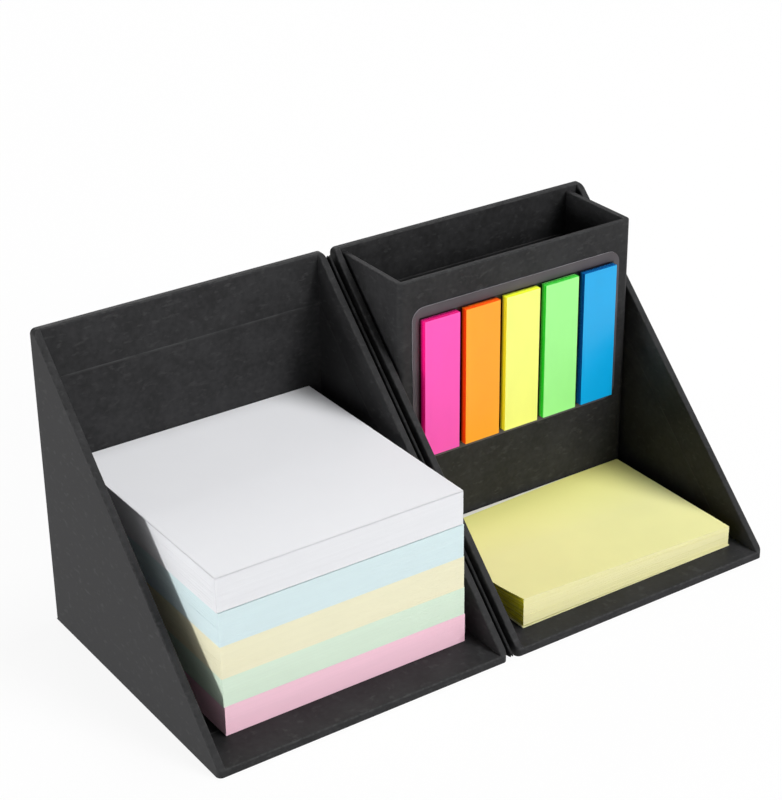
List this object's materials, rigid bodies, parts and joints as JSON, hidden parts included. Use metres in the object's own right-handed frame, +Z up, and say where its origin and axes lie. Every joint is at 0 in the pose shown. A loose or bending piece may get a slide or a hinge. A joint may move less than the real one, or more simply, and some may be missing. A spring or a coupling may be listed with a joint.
{
  "type": "memo box",
  "caption": "Folding memo box of black paper-covered board that opens into wedge-shaped halves with coloured memo sheets, a sticky note pad, page flags and a pen pocket.",
  "frame": {"origin": "on the table, under the middle of the open box", "axes": "+X from the memo half to the pen half, +Y to the back walls, +Z up"},
  "size_m": [0.183, 0.0894, 0.0895],
  "materials": {
    "greyboard": "matte",
    "black_cover_paper": "matte",
    "black_lining_paper": "matte",
    "black_hinge_paper": "matte",
    "card_film": "satin",
    "sticky_note_paper": "matte",
    "sticky_backing_paper": "satin",
    "memo_paper_white": "matte",
    "memo_paper_blue": "matte",
    "memo_paper_yellow": "matte",
    "memo_paper_green": "matte",
    "memo_paper_pink": "matte",
    "flag_film_pink": "gloss",
    "flag_film_orange": "gloss",
    "flag_film_yellow": "gloss",
    "flag_film_green": "gloss",
    "flag_film_blue": "gloss"
  },
  "bodies": {
    "memo_half": {"memo_back_board": "greyboard", "memo_base_board": "greyboard", "memo_outer_side_board": "greyboard", "memo_inner_side_board": "greyboard", "memo_cover_paper": "black_cover_paper", "memo_liner_paper": "black_lining_paper", "memo_bottom_sheet": "black_lining_paper", "memo_white": "memo_paper_white", "memo_blue": "memo_paper_blue", "memo_yellow": "memo_paper_yellow", "memo_green": "memo_paper_green", "memo_pink": "memo_paper_pink", "hinge_strip": "black_hinge_paper"},
    "pen_half": {"pen_back_board": "greyboard", "pen_base_board": "greyboard", "pen_outer_side_board": "greyboard", "pen_inner_side_board": "greyboard", "pen_cover_paper": "black_cover_paper", "pen_liner_paper": "black_lining_paper", "pen_bottom_sheet": "black_lining_paper", "pocket_front_board": "greyboard", "pocket_left_board": "greyboard", "pocket_right_board": "greyboard", "pocket_cover_paper": "black_cover_paper", "flag_card": "card_film", "flag_pink": "flag_film_pink", "flag_orange": "flag_film_orange", "flag_yellow": "flag_film_yellow", "flag_green": "flag_film_green", "flag_blue": "flag_film_blue", "sticky_pad": "sticky_note_paper", "sticky_pad_backing": "sticky_backing_paper"}
  },
  "joints": [
    {"name": "fold", "type": "hinge", "parent": "memo_half", "child": "pen_half", "pos_m": [0, -0.00128, 0.046], "axis": [0, -0.7071, -0.7071], "range_deg": [0, 180], "deforming": ["hinge_strip"]}
  ]
}
